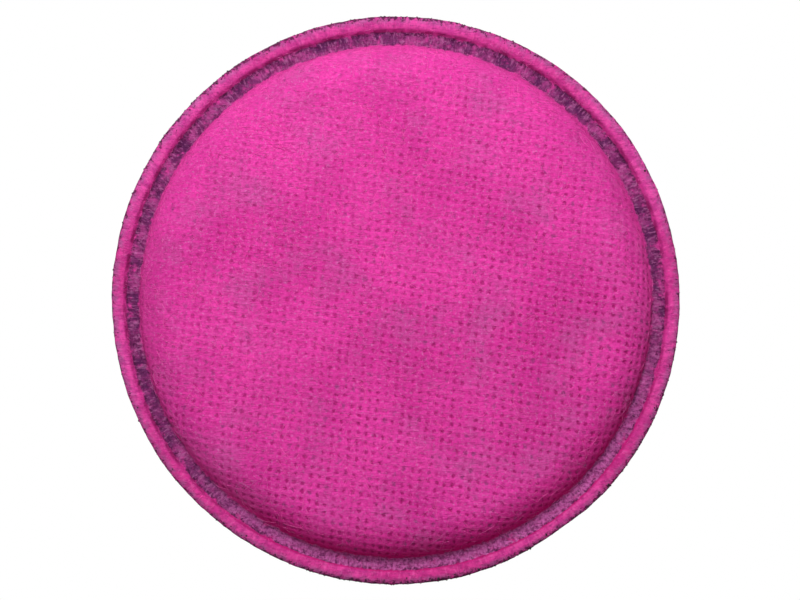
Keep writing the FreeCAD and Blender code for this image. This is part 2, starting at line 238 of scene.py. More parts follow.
class Relief:
    """Height of a cover above its smooth profile, and where its bond points lie."""

    DIMPLE_DEPTH = 0.21
    DIMPLE_SIZE = 0.34
    REAR_TURN = math.radians(31)
    # waves: height and length in millimetres, and what is added to the seed
    LOFT = ((0.30, 26.0, 2), (0.14, 10.0, 3), (0.05, 4.0, 4))
    MELT_LUMPS = ((0.09, 1.3, 6), (0.10, 0.6, 7))
    BEAD_SWELLS = ((0.10, 7.0, 10), (0.08, 0.9, 11))

    def __init__(self, profile, front):
        self.profile, self.front = profile, front
        self.seed = 1 if front else 5
        turn = 0.0 if front else self.REAR_TURN
        cos, sin = math.cos(turn), math.sin(turn)
        rotate = np.array(((cos, -sin), (sin, cos)))
        self.row, self.column = rotate @ ROW_STEP, rotate @ COLUMN_STEP
        self.to_cells = np.linalg.inv(np.column_stack((self.row, self.column)))

    def waves(self, u, v, terms):
        return sum(size * field(u, v, length, self.seed + more) for size, length, more in terms)

    def bonds(self, u, v):
        """Lattice coordinates: whole numbers are bond points. The rows wander a little."""
        a, b = self.to_cells @ np.vstack((u, v))
        a = a + 0.25 * field(u, v, 11.0, self.seed) + 0.17 * field(u, v, 2.3, self.seed + 0.3)
        b = b + 0.25 * field(u, v, 12.0, self.seed + 0.5) + 0.17 * field(u, v, 2.1, self.seed + 0.8)
        return a, b

    def pit_strength(self, u, v, s):
        """How well the bond points stand out: least at the upper left, as photographed."""
        side = PITTED_TOWARDS @ np.vstack((u, v)) / WELD_INNER
        strength = 0.86 + 0.30 * side + 0.22 * field(u, v, 9.0, self.seed + 13)
        upper = smoothstep(-0.2, 0.5, (v - 0.2 * u) / np.maximum(s, 1.0))
        pulled = upper * smoothstep(self.profile.plateau - 2.0, self.profile.weld_inner - 2.5, s)
        return np.clip(strength * (1 - 0.7 * pulled), 0.2, 1.2)

    def dimples(self, a, b, pit_strength):
        i, j = np.round(a), np.round(b)
        offset = np.column_stack((a - i, b - j)) @ np.vstack((self.row, self.column))
        distance = np.hypot(offset[:, 0], offset[:, 1])
        strength = 0.35 + 0.85 * cell_random(i, j, self.seed)
        pit = np.exp(-((distance / self.DIMPLE_SIZE) ** 2))
        pillow = 0.5 * (np.cos(2 * np.pi * a) + np.cos(2 * np.pi * b))
        return pit_strength * (-self.DIMPLE_DEPTH * strength * pit - 0.02 * pillow)

    def swell(self, u, v, s):
        """The slow unevenness of the loft inside, and puckers where it is gathered by the weld."""
        profile = self.profile
        dome = 1.0 - smoothstep(profile.weld_inner - 1.2, profile.weld_inner, s)
        round_u, round_v = onto_circle(u, v, WELD_INNER)
        gather = bump_window(profile.weld_inner - 3.0, 3.4, s)
        puckers = 0.13 * gather * field(round_u, round_v, 3.4, self.seed + 5)
        if not self.front:
            dome = dome * smoothstep(FLANGE_RADIUS, FLANGE_RADIUS + 5, s)
        return dome * self.waves(u, v, self.LOFT) + puckers

    def crush(self, u, v, s):
        """Small bumps of the molten weld."""
        inner, outer = self.profile.weld_inner, self.profile.weld_outer
        weld = band((inner - 0.3, inner + 0.2), (outer - 0.2, outer + 0.3), s)
        return weld * self.waves(u, v, self.MELT_LUMPS)

    def lift(self, u, v, s, a, b):
        inner, outer = self.profile.weld_inner, self.profile.weld_outer
        welded = band((inner - 0.4, inner + 0.2), (outer + 0.2, outer + 0.8), s, 0.75)
        fuzz = 0.03 * field(u, v, 0.55, self.seed + 8)
        pits = self.dimples(a, b, self.pit_strength(u, v, s))
        return (
            self.swell(u, v, s)
            + (1.0 - 0.85 * welded) * (pits + fuzz)
            + self.crush(u, v, s)
            + self.bead_lumps(u, v, s)
        )

    def bead_lumps(self, u, v, s):
        """The rolled edge is uneven: long swells and short gathers across it."""
        profile = self.profile
        bead = bump_window((profile.weld_outer + profile.rim) / 2, 1.9, s)
        swells = self.waves(*onto_circle(u, v, RIM_RADIUS), self.BEAD_SWELLS)
        return bead * (swells + 0.05 * field(u, v, 0.6, self.seed + 12))

    def rim_shift(self, angle, s):
        """How the bead's edge wanders in and out, and is a little flat at the lower right."""
        profile = self.profile
        bead = smoothstep(profile.weld_outer, profile.rim, s)
        u, v = np.cos(angle) * RIM_RADIUS, np.sin(angle) * RIM_RADIUS
        wander = 0.13 * field(u, v, 9.0, 20) + 0.11 * field(u, v, 1.8, 21 + self.seed)
        away = np.angle(np.exp(1j * (angle - FLAT_AT)))
        return bead * (wander - FLAT_DEPTH * np.exp(-((away / FLAT_HALF_WIDTH) ** 2)))

    def place(self, u, v, below=None, above=0.0):
        """Points of the web, in metres, for flat positions u, v.

        above lifts them off its uneven face, and below sinks them under the smooth one.
        """
        profile = self.profile
        s, angle = np.hypot(u, v), np.arctan2(v, u)
        radius, up, normal_r, normal_h = profile.at(s)
        if below is None:
            a, b = self.bonds(u, v)
            lift = self.lift(u, v, s, a, b) + above
        else:
            # deep webs hardly swell, and in the bead they lie straight under the cover
            lift = self.swell(u, v, s) * (1.0 - below / DOME_DEPTHS[-1]) - below
            upright = smoothstep(profile.weld_outer - 0.3, profile.weld_outer + 0.6, s)
            normal_r = normal_r * (1.0 - upright)
            normal_h = normal_h * (1.0 - upright) + upright
        radius = radius + normal_r * lift + self.rim_shift(angle, s)
        up = up + normal_h * lift
        drop = WELD_DROP * (1.0 - smoothstep(profile.weld_outer, profile.rim, s))
        depth = MIDDLE_DEPTH + up if self.front else MIDDLE_DEPTH - up
        return np.column_stack(
            (radius * np.cos(angle), -depth, radius * np.sin(angle) - drop)
        ) * MM


def grit(angle):
    """How densely carbon dust shows along the cut edge, 0..1: most above and below."""
    return 0.5 + 0.5 * np.cos(2 * (angle - GRIT_AXIS))


def painted_light_and_shade_below(angle):
    """How much light and shade is painted on the lower side, 0..1: most below, as the photograph
    shows. The weld and bead are painted lighter there, and the dome's foot a deeper red.
    """
    return smoothstep(0.26, 1.0, np.cos(angle - PAINTED_LIGHT_TOWARDS))


# ---- meshes made of rings and a grid


def smooth_mesh(name, points, faces):
    mesh = bpy.data.meshes.new(name)
    mesh.from_pydata(points.tolist(), [], faces)
    mesh.update()
    mesh.shade_smooth()
    return mesh


def store(mesh, name, vectors):
    layer = mesh.attributes.new(name, "FLOAT_VECTOR", "POINT")
    layer.data.foreach_set("vector", vectors.astype(np.float32).ravel())


class Builder:
    """Collects flat-web positions, points and faces of one web."""

    def __init__(self, flip):
        self.points, self.sheet, self.faces, self.count, self.flip = [], [], [], 0, flip

    def add(self, points, u, v):
        first = self.count
        self.points.append(points)
        self.sheet.append(np.column_stack((u, v, np.hypot(u, v))))
        self.count += len(points)
        return list(range(first, self.count))

    def face(self, *corners):
        self.faces.append(corners[::-1] if self.flip else corners)

    def bridge(self, inner, outer):
        """Joins two rings of equal count; the outer one is further along the surface."""
        for k in range(len(inner)):
            after = (k + 1) % len(inner)
            self.face(inner[k], outer[k], outer[after], inner[after])

    def zip_rings(self, inner, outer, inner_angles, outer_angles):
        """Joins two rings of different counts, each in order of angle, with triangles."""
        inner_turn = np.unwrap(np.append(inner_angles, inner_angles[0] + 2 * np.pi))
        start = int(np.argmin(np.abs(np.angle(np.exp(1j * (outer_angles - inner_angles[0]))))))
        outer = outer[start:] + outer[:start]
        outer_angles = np.concatenate((outer_angles[start:], outer_angles[:start]))
        outer_turn = np.unwrap(np.append(outer_angles, outer_angles[0] + 2 * np.pi))
        outer_turn = outer_turn + 2 * np.pi * round((inner_turn[0] - outer_turn[0]) / (2 * np.pi))
        i = j = 0
        while i < len(inner) or j < len(outer):
            forward_inner = inner_turn[i + 1] if i < len(inner) else np.inf
            forward_outer = outer_turn[j + 1] if j < len(outer) else np.inf
            here, there = inner[i % len(inner)], outer[j % len(outer)]
            if forward_inner < forward_outer:
                self.face(here, there, inner[(i + 1) % len(inner)])
                i += 1
            else:
                self.face(here, there, outer[(j + 1) % len(outer)])
                j += 1

    def mesh(self, name):
        return smooth_mesh(name, np.concatenate(self.points), self.faces)


def boundary_loops(quads, positions):
    """The outline loops of a patch of quads, each anticlockwise by angle, longest first."""
    following = {}
    seen = set()
    for quad in quads:
        for start, end in zip(quad, quad[1:] + quad[:1]):
            seen.add((start, end))
    for start, end in seen:
        if (end, start) not in seen:
            following.setdefault(start, []).append(end)
    loops = []
    while following:
        start = next(iter(following))
        loop, here = [], start
        while here in following:
            loop.append(here)
            ends = following[here]
            after = ends.pop()
            if not ends:
                del following[here]
            here = after
        loops.append(loop)
    loops.sort(key=len, reverse=True)
    ordered = []
    for loop in loops:
        x, y = positions[loop].T
        area = np.sum(x * np.roll(y, -1) - y * np.roll(x, -1))
        ordered.append(loop if area > 0 else loop[::-1])
    return ordered


def bond_patch(relief, inner_reach, outer_reach):
    """Grid positions that follow the bond rows between two circles, and the quads on them."""
    row, column = relief.row / GRID_PER_BOND, relief.column / GRID_PER_BOND
    span = int(outer_reach / min(np.hypot(*row), np.hypot(*column)) * 1.1) + 2
    index = np.arange(-span, span + 1)
    i, j = np.meshgrid(index, index, indexing="ij")
    u, v = i * row[0] + j * column[0], i * row[1] + j * column[1]
    reach = np.hypot(u, v)
    inside = (reach < outer_reach) & (reach >= inner_reach)
    whole = inside[:-1, :-1] & inside[1:, :-1] & inside[1:, 1:] & inside[:-1, 1:]
    used = np.zeros_like(inside)
    for di in (0, 1):
        for dj in (0, 1):
            used[di : di + whole.shape[0], dj : dj + whole.shape[1]] |= whole
    number = np.full(inside.shape, -1)
    number[used] = np.arange(used.sum())
    corners = [number[:-1, :-1], number[1:, :-1], number[1:, 1:], number[:-1, 1:]]
    quads = np.column_stack([corner[whole] for corner in corners]).tolist()
    return np.column_stack((u[used], v[used])), quads


def ring_angles(count):
    return np.arange(count) * 2 * np.pi / count


def circle(reach, count):
    angle = ring_angles(count)
    return reach * np.cos(angle), reach * np.sin(angle)


def add_ring(builder, relief, reach, count, below=None):
    u, v = circle(reach, count)
    return builder.add(relief.place(u, v, below=below), u, v)


def cover_mesh(name, relief, inner_radius):
    """A cover web: a bond-aligned dome, rings through weld and bead, the cut edge and a back."""
    profile = relief.profile
    builder = Builder(flip=not relief.front)
    spacing = float(np.hypot(*relief.row)) / GRID_PER_BOND
    dome_edge = profile.weld_inner + 0.1
    hole = inner_radius + spacing * 1.1 if inner_radius else 0.0
    positions, quads = bond_patch(relief, hole, dome_edge - spacing * 0.9)
    patch = builder.add(relief.place(*positions.T), *positions.T)
    for quad in quads:
        builder.face(*(patch[k] for k in quad))
    loops = boundary_loops(quads, positions)

    reaches = np.concatenate(
        (
            np.linspace(dome_edge, profile.weld_outer, 6),
            np.linspace(profile.weld_outer, profile.rim, 10)[1:],
        )
    )
    rings = [add_ring(builder, relief, reach, RING_POINTS) for reach in reaches]
    patch_loop = [patch[k] for k in loops[0]]
    angles = np.arctan2(*positions[loops[0]].T[::-1])
    builder.zip_rings(patch_loop, rings[0], angles, ring_angles(RING_POINTS))
    for inner, outer in zip(rings, rings[1:]):
        builder.bridge(inner, outer)

    # the cut edge and the back of the web, with fewer and fewer points inwards
    back_edge = add_ring(builder, relief, profile.rim, RING_POINTS, EDGE_THICKNESS)
    builder.bridge(rings[-1], back_edge)
    back_reaches = np.concatenate(
        (
            np.linspace(profile.rim - 0.9, profile.weld_inner, 5),
            np.linspace(profile.weld_inner - 1.2, profile.plateau, 5),
            np.linspace(profile.plateau - 2.5, inner_radius or 2.0, 14),
        )
    )
    few = INNER_RING_POINTS
    back = [add_ring(builder, relief, reach, few, COVER_THICKNESS) for reach in back_reaches]
    builder.zip_rings(back_edge, back[0], ring_angles(RING_POINTS), ring_angles(few))
    for outer, inner in zip(back, back[1:]):
        builder.bridge(outer, inner)
    if inner_radius:
        close_hole(builder, relief, inner_radius, back[-1], patch, positions, loops[1])
    else:
        zero = np.zeros(1)
        centre = builder.add(relief.place(zero, zero, below=COVER_THICKNESS), zero, zero)[0]
        for k in range(few):
            builder.face(back[-1][k], centre, back[-1][(k + 1) % few])
    mesh = builder.mesh(name)
    store_web(mesh, np.concatenate(builder.sheet), relief)
    return mesh


def close_hole(builder, relief, inner_radius, back_ring, patch, positions, loop):
    """The edge of the hole for the fitting, from the grid's inner outline to the back."""
    count = INNER_RING_POINTS * 2
    edge = add_ring(builder, relief, inner_radius, count)
    patch_loop = [patch[k] for k in loop]
    angles = np.arctan2(*positions[loop].T[::-1])
    builder.zip_rings(edge, patch_loop, ring_angles(count), angles)
    builder.zip_rings(back_ring, edge, ring_angles(INNER_RING_POINTS), ring_angles(count))


def store_web(mesh, sheet, relief):
    """Stores on every point, in millimetres, what the cover's material reads.

    web: the place on the flat web; bond: lattice coordinates; look: depth of the bond points,
    carbon along the rim, painted light and shade on the lower side; zone: weld, way out on the
    bead, distance from the axis.
    """
    u, v, s = sheet.T
    a, b = relief.bonds(u, v)
    profile = relief.profile
    bead = np.clip((s - profile.weld_outer) / (profile.rim - profile.weld_outer), 0.0, 1.0)
    inner, outer = profile.weld_inner, profile.weld_outer
    weld = band((inner - 0.9, inner + 0.5), (outer - 0.2, outer + 0.7), s)
    angle = np.arctan2(v, u)
    look = (relief.pit_strength(u, v, s), grit(angle), painted_light_and_shade_below(angle))
    for name, vectors in (
        ("web", np.column_stack((u, v, np.zeros_like(u)))),
        ("bond", np.column_stack((a, b, np.zeros_like(a)))),
        ("look", np.column_stack(look)),
        ("zone", np.column_stack((weld, bead, s))),
    ):
        store(mesh, name, vectors)


def add_object(name, mesh):
    piece = bpy.data.objects.new(name, mesh)
    bpy.context.scene.collection.objects.link(piece)
    return piece


def web_depth(profile, reach, face):
    """How deep one of the faces between the webs lies under the cover's outer face."""
    edge = smoothstep(profile.rim - 0.4, profile.rim, reach)
    cover = COVER_THICKNESS * (1 - edge) + EDGE_THICKNESS * edge
    pressed = smoothstep(profile.weld_inner - 2.0, profile.weld_inner, reach)
    height = np.interp(reach, profile.s, profile.up)
    near_rim = cover + (height - cover) * RIM_SHARES[face]
    return DOME_DEPTHS[face] * (1 - pressed) + near_rim * pressed


def web_mesh(name, relief, inner_radius, layer, rings):
    """One of the webs under a cover, with a ragged cut edge."""
    profile = relief.profile
    builder = Builder(flip=not relief.front)
    count = INNER_RING_POINTS * 2
    reaches = np.concatenate(
        (
            np.linspace(inner_radius or 1.0, profile.plateau, rings[0]),
            np.linspace(profile.plateau, profile.weld_inner, rings[1])[1:],
            np.linspace(profile.weld_inner, profile.rim, rings[2])[1:],
        )
    )
    rim_u, rim_v = circle(RIM_RADIUS, count)
    ragged = RAGGEDNESS * field(rim_u, rim_v, 0.8, relief.seed + 9 + 0.7 * layer)
    top, bottom = [], []
    for reach in reaches:
        edge = smoothstep(profile.rim - 0.4, profile.rim, reach)
        u, v = circle(reach, count)
        stretch = 1.0 + edge * (ragged - 0.05) / reach
        for made, face in ((top, layer), (bottom, layer + 1)):
            points = relief.place(u, v, below=web_depth(profile, reach, face))
            points[:, 0] *= stretch
            points[:, 2] *= stretch
            made.append(builder.add(points, u, v))
    for made, order in ((top, 1), (bottom, -1)):
        for inner, outer in zip(made, made[1:]):
            builder.bridge(*(inner, outer)[::order])
    builder.bridge(top[-1], bottom[-1])
    builder.bridge(bottom[0], top[0])
    return builder.mesh(name)


def add_granules(mesh, relief):
    """Carbon granules caught in the cut edge, as small broken lumps."""
    sources = random.Random(relief.seed + 40)
    work = bmesh.new()
    work.from_mesh(mesh)
    for _ in range(GRANULES):
        angle = sources.uniform(0, 2 * math.pi)
        if sources.random() > 0.18 + 0.82 * float(grit(angle)) ** 1.5:
            continue
        size = sources.uniform(*GRANULE_RADII) * MM
        inwards = 0.05 + 1.3 * sources.random() ** 2
        reach = relief.profile.rim - inwards
        u, v = (np.array([c * reach]) for c in (math.cos(angle), math.sin(angle)))
        below = np.array([sources.uniform(0.04, 0.45)])
        centre = Vector(relief.place(u, v, below=below)[0])
        lump = bmesh.ops.create_icosphere(work, subdivisions=1, radius=size)["verts"]
        stretch = [sources.uniform(0.6, 1.7) for _ in range(3)]
        for point in lump:
            shake = 1 + sources.uniform(-0.25, 0.25)
            point.co = centre + Vector(c * k * shake for c, k in zip(point.co, stretch))
    work.to_mesh(mesh)
    work.free()


front_profile = Profile(FRONT_HEIGHT, CROWN, 0.0)
rear_profile = Profile(REAR_HEIGHT, 0.0, HOLE_RADIUS)
front_relief = Relief(front_profile, front=True)
rear_relief = Relief(rear_profile, front=False)
front_cover = add_object("front_cover", cover_mesh("front_cover", front_relief, 0.0))
rear_cover = add_object("rear_cover", cover_mesh("rear_cover", rear_relief, HOLE_RADIUS))
for piece, node in ((front_cover, "front_cover_web"), (rear_cover, "rear_cover_web")):
    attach(piece, BODY)
    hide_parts(node)

webs = {}
for wall, relief, hole in (("front", front_relief, 0.0), ("rear", rear_relief, HOLE_RADIUS)):
    for layer, (web, node, slot) in enumerate(
        (
            ("carbon", "carbon_web", "carbon_web"),
            ("felt_outer", "outer_felt", "filter_felt"),
            ("felt_inner", "inner_felt", "filter_felt"),
            ("scrim", "inner_scrim", "scrim"),
        )
    ):
        name = wall + "_" + web
        rings = CARBON_RINGS if web == "carbon" else WEB_RINGS
        mesh = web_mesh(name, relief, hole, layer, rings)
        if web == "carbon":
            add_granules(mesh, relief)
        piece = webs[name] = add_object(name, mesh)
        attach(piece, BODY)
        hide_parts(wall + "_" + node)


def fibre_mesh(name, relief, count, inner_reach):
    """Loose fibres of the cover: thin three-sided strands that wander over its face."""
    profile = relief.profile
    pick = np.random.default_rng(relief.seed + 60)
    joints = STRAND_JOINTS
    on_bead = pick.random(count) < STRANDS_ON_BEAD
    dome_reach = np.sqrt(pick.uniform(inner_reach**2, profile.weld_inner**2, count))
    bead_reach = pick.uniform(profile.weld_outer + 0.3, profile.rim, count)
    start_reach = np.where(on_bead, bead_reach, dome_reach)
    start_angle = pick.uniform(0, 2 * np.pi, count)
    heading = pick.uniform(0, 2 * np.pi, count)
    bead_length = pick.uniform(*BEAD_STRAND_LENGTHS, count)
    length = np.where(on_bead, bead_length, pick.uniform(*DOME_STRAND_LENGTHS, count))
    bend = pick.normal(0, 0.9, count)
    loose = pick.random(count) < LOOSE_STRANDS
    height = np.where(loose, pick.uniform(*LOOSE_HEIGHTS, count), 0.05)
    thick = pick.uniform(*STRAND_RADII, count)
    along = np.linspace(0, 1, joints)
    turn = heading[:, None] + bend[:, None] * along
    step = (length / (joints - 1))[:, None]
    u = (start_reach * np.cos(start_angle))[:, None] + np.cumsum(np.cos(turn) * step, axis=1)
    v = (start_reach * np.sin(start_angle))[:, None] + np.cumsum(np.sin(turn) * step, axis=1)
    # a strand that would leave the web is turned back along its edge
    reach = np.hypot(u, v)
    least = np.where(on_bead, profile.weld_outer + 0.2, inner_reach)[:, None]
    most = np.where(on_bead, profile.rim - 0.05, profile.weld_inner + 0.1)[:, None]
    limited = np.clip(reach, least, most)
    u, v = u * limited / reach, v * limited / reach
    above = -0.03 + height[:, None] * np.sin(np.pi * along) + pick.normal(0, 0.015, u.shape)
    flat_u, flat_v = u.ravel(), v.ravel()
    points = relief.place(flat_u, flat_v, above=above.ravel()).reshape(count, joints, 3)
    _, _, normal_r, normal_h = profile.at(np.hypot(flat_u, flat_v))
    angle = np.arctan2(flat_v, flat_u)
    side = -1.0 if relief.front else 1.0
    normal = np.column_stack((normal_r * np.cos(angle), side * normal_h, normal_r * np.sin(angle)))
    normal = normal.reshape(count, joints, 3)
    tangent = np.gradient(points, axis=1)
    across = np.cross(tangent, normal)
    across /= np.linalg.norm(across, axis=2, keepdims=True) + 1e-12
    taper = thick[:, None, None] * MM * (0.35 + 0.65 * np.sin(np.pi * along))[None, :, None]
    corners = []
    for k in range(3):
        spin = 2 * math.pi * k / 3 + math.pi / 2
        corners.append(points + taper * (math.cos(spin) * across + math.sin(spin) * normal))
    vertices = np.stack(corners, axis=2).reshape(-1, 3)
    faces = []
    for strand in range(count):
        first = strand * joints * 3
        for j in range(joints - 1):
            here = first + 3 * j
            for k in range(3):
                after = (k + 1) % 3
                faces.append((here + k, here + after, here + 3 + after, here + 3 + k))
        last = first + 3 * (joints - 1)
        faces.append((first + 2, first + 1, first))
        faces.append((last, last + 1, last + 2))
    mesh = smooth_mesh(name, vertices, faces)
    flat = np.column_stack((flat_u, flat_v, np.repeat(pick.random(count), joints)))
    store(mesh, "web", np.repeat(flat, 3, axis=0))
    return mesh


front_strands = fibre_mesh("front_fibres", front_relief, FRONT_STRANDS, 0.5)
front_fibres = add_object("front_fibres", front_strands)
rear_strands = fibre_mesh("rear_fibres", rear_relief, REAR_STRANDS, FLANGE_RADIUS + 0.4)
rear_fibres = add_object("rear_fibres", rear_strands)
for piece in (front_fibres, rear_fibres):
    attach(piece, BODY)


def rounded_copy(name, node, width):
    """A copy of a moulded CAD node with its sharp edges broken, as a mould leaves them."""
    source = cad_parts[node]
    work = bmesh.new()
    work.from_mesh(source.data)
    work.transform(source.matrix_world)
    bmesh.ops.remove_doubles(work, verts=work.verts, dist=1e-6)
    bmesh.ops.dissolve_limit(
        work, angle_limit=math.radians(0.5), verts=work.verts, edges=work.edges
    )
    mesh = bpy.data.meshes.new(name)
    work.to_mesh(mesh)
    work.free()
    raw = bpy.data.objects.new(name + "_raw", mesh)
    bpy.context.scene.collection.objects.link(raw)
    bevel = raw.modifiers.new("edges", "BEVEL")
    bevel.width = width
    bevel.segments = 2
    bevel.limit_method = "ANGLE"
    bevel.angle_limit = math.radians(50)
    bpy.context.view_layer.update()
    evaluated = raw.evaluated_get(bpy.context.evaluated_depsgraph_get())
    result = bpy.data.meshes.new_from_object(evaluated)
    bpy.data.objects.remove(raw)
    result.name = name
    result.shade_smooth()
    result.set_sharp_from_angle(angle=math.radians(32))
    return add_object(name, result)


MOULDED_EDGE = 0.18 * MM
collar = rounded_copy("collar", "bayonet_collar", MOULDED_EDGE)
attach(collar, BODY)
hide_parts("bayonet_collar")


# ---- materials


def srgb(red, green, blue):
    """A screen colour, 0..255, as the linear colour of a node."""

    def linear(value):
        value /= 255
        return value / 12.92 if value <= 0.04045 else ((value + 0.055) / 1.055) ** 2.4

    return (linear(red), linear(green), linear(blue), 1.0)


class Nodes:
    """Short ways to add and join the nodes of one tree."""

    def __init__(self, tree):
        self.nodes, self.links = tree.nodes, tree.links

    def put(self, socket, value):
        if isinstance(value, bpy.types.NodeSocket):
            self.links.new(value, socket)
        else:
            socket.default_value = value

    def fed(self, kind, *values, operation=None, **named):
        """A new node, its sockets fed in order or by name; some exist only for an operation."""
        node = self.nodes.new(kind)
        if operation:
            node.operation = operation
        for socket, value in zip(node.inputs, values):
            self.put(socket, value)
        for name, value in named.items():
            self.put(node.inputs[name], value)
        return node

    def attribute(self, name):
        node = self.nodes.new("ShaderNodeAttribute")
        node.attribute_name = name
        return node.outputs["Vector"]

    def object_place(self):
        return self.nodes.new("ShaderNodeTexCoord").outputs["Object"]

    def parts(self, vector):
        return list(self.fed("ShaderNodeSeparateXYZ", vector).outputs)

    def joined(self, x, y, z):
        return self.fed("ShaderNodeCombineXYZ", x, y, z).outputs[0]

    def vector(self, operation, *values, **named):
        node = self.fed("ShaderNodeVectorMath", *values, operation=operation, **named)
        return node.outputs["Value" if operation == "LENGTH" else "Vector"]

    def turned(self, vector, degrees, scale):
        turn = (0, 0, math.radians(degrees))
        return self.fed("ShaderNodeMapping", vector, Rotation=turn, Scale=scale).outputs[0]

    def noise(self, vector, scale, detail=2.0, roughness=0.5, distortion=0.0):
        node = self.fed("ShaderNodeTexNoise", vector, Scale=scale, Detail=detail)
        node.inputs["Roughness"].default_value = roughness
        node.inputs["Distortion"].default_value = distortion
        return node.outputs[0]

    def math(self, operation, *values):
        return self.fed("ShaderNodeMath", *values, operation=operation).outputs[0]

    def step(self, value, low, high, start=0.0, end=1.0):
        """A smooth step of value from low to high, giving start to end."""
        node = self.fed("ShaderNodeMapRange", value, low, high, start, end)
        node.interpolation_type = "SMOOTHSTEP"
        return node.outputs[0]

    def patches(self, place, scale, detail, roughness, low, high, start=0.0, end=1.0):
        """Noise with its soft-edged step."""
        return self.step(self.noise(place, scale, detail, roughness), low, high, start, end)

    def shifted(self, place, *shift):
        return self.vector("ADD", place, shift)

    def background_rays(self):
        """1 for the rays that see a background: camera rays, and reflections."""
        rays = self.nodes.new("ShaderNodeLightPath").outputs
        return self.math("MAXIMUM", rays["Is Camera Ray"], rays["Is Glossy Ray"])

    def mix(self, factor, first, second):
        node = self.nodes.new("ShaderNodeMix")
        node.data_type = "RGBA"
        self.put(node.inputs[0], factor)
        self.put(node.inputs[6], first)
        self.put(node.inputs[7], second)
        return node.outputs[2]

    def share(self, factor, amount):
        return self.math("MULTIPLY", factor, amount)

    def over(self, colour, mask, strength, *shade):
        """The colour with a shade laid over it where the mask is."""
        return self.mix(self.share(mask, strength), colour, srgb(*shade))

    def bump(self, height, distance, strength):
        node = self.fed("ShaderNodeBump", Strength=strength, Distance=distance, Height=height)
        return node.outputs[0]


class Material(Nodes):
    """A procedural material."""

    def __init__(self, name, roughness, specular):
        self.material = bpy.data.materials.new(name)
        self.material.use_nodes = True
        super().__init__(self.material.node_tree)
        self.shader = self.nodes["Principled BSDF"]
        self.shader.inputs["Roughness"].default_value = roughness
        self.shader.inputs["Specular IOR Level"].default_value = specular

    def finish(self, colour, normal=None, roughness=None):
        self.put(self.shader.inputs["Base Color"], colour)
        if normal is not None:
            self.put(self.shader.inputs["Normal"], normal)
        if roughness is not None:
            self.put(self.shader.inputs["Roughness"], roughness)
        return self.material


WEB_BUMP = 0.16 * MM


class CoverMaterial(Material):
    """What a cover's mesh stores for its look, as sockets."""

    def __init__(self, name, profile, pattern_start):
        super().__init__(name, roughness=0.95, specular=0.05)
        self.profile = profile
        flat_place = self.attribute("web")
        self.web = self.vector("ADD", flat_place, pattern_start)
        self.bond_a, self.bond_b, _ = self.parts(self.attribute("bond"))
        # the third is how much light and shade is painted on the lower side
        self.pit_strength, self.rim_grit, self.painted_below = self.parts(self.attribute("look"))
        self.weld, self.bead, self.reach = self.parts(self.attribute("zone"))
        # fibres drawn across the weld and the bead: noise stretched along the radius
        direction = self.vector("NORMALIZE", flat_place)
        self.around = self.vector("SCALE", direction, Scale=RIM_RADIUS)
        x, y, _ = self.parts(self.around)
        z = self.math("MULTIPLY_ADD", self.reach, 0.30, pattern_start[0])
        streaks = self.noise(self.joined(x, y, z), 2.0, 3.0, 0.65)
        self.drawn_light = self.step(streaks, 0.54, 0.64)
        self.drawn_dark = self.step(streaks, 0.46, 0.36)

    def by_painted_below(self, at_none, at_most):
        """A factor that goes from one value to the other with how much light and shade is painted
        on the lower side there.
        """
        return self.math("MULTIPLY_ADD", self.painted_below, at_most - at_none, at_none)


def cover_material(name, profile, pattern_start):
    """Magenta point-bonded polypropylene web with the dark layers showing through."""
    m = CoverMaterial(name, profile, pattern_start)
    colour, height = web_look(m)
    for layer in (with_painted_dome_light_and_shade, with_bond_points, with_weld, with_bead):
        colour = layer(m, colour)
    return m.finish(colour, m.bump(height, WEB_BUMP, 0.8))


def web_look(m):
    """Clouds, grey patches, grain, flecks and crossing fibres; also their height."""
    web = m.web
    clouds = m.patches(web, 0.05, 4.0, 0.5, 0.36, 0.66)
    colour = m.mix(clouds, srgb(236, 66, 170), srgb(214, 52, 152))
    greyed = m.patches(web, 0.085, 5.0, 0.62, 0.48, 0.68)
    colour = m.over(colour, greyed, 0.50, 194, 92, 160)
    grain = m.patches(web, 1.3, 4.0, 0.7, 0.36, 0.64)
    colour = m.over(colour, grain, 0.40, 186, 34, 122)
    fleck_place = m.shifted(web, 9.0, 53.0, 0.0)
    flecks = m.patches(fleck_place, 1.9, 3.0, 0.75, 0.55, 0.66)
    colour = m.over(colour, flecks, 0.55, 214, 130, 190)
    height = m.share(grain, 0.25)
    for degrees, bright in ((23, True), (-52, False), (84, True), (131, False), (-12, True)):
        along = m.turned(web, degrees, (0.7, 4.2, 1.0))
        fibres = m.step(m.noise(along, 1.0, 3.0, 0.6, 0.8), 0.56, 0.70)
        shade = srgb(252, 104, 188) if bright else srgb(158, 26, 104)
        colour = m.mix(m.share(fibres, 0.24), colour, shade)
        height = m.math("ADD", height, m.share(fibres, 0.5 if bright else -0.35))
    return colour, height


def with_painted_dome_light_and_shade(m, colour):
    """Painted light over the shoulder, least on the lower side, and painted shade, a deeper red,
    low on the dome's lower side, as photographed.
    """
    foot = m.profile.weld_inner
    # painted light: the shoulder is made paler, except on the lower side
    painted_shoulder_light = m.step(m.reach, foot - 5.0, foot - 1.2)
    painted_shoulder_light = m.share(painted_shoulder_light, m.by_painted_below(0.40, 0.0))
    colour = m.mix(painted_shoulder_light, colour, srgb(250, 80, 182))
    # painted shade: a deeper red low on the dome, on the lower side
    painted_lower_shade = m.share(m.step(m.reach, foot - 9.0, foot - 1.0), m.painted_below)
    return m.over(colour, painted_lower_shade, 0.55, 212, 4, 116)


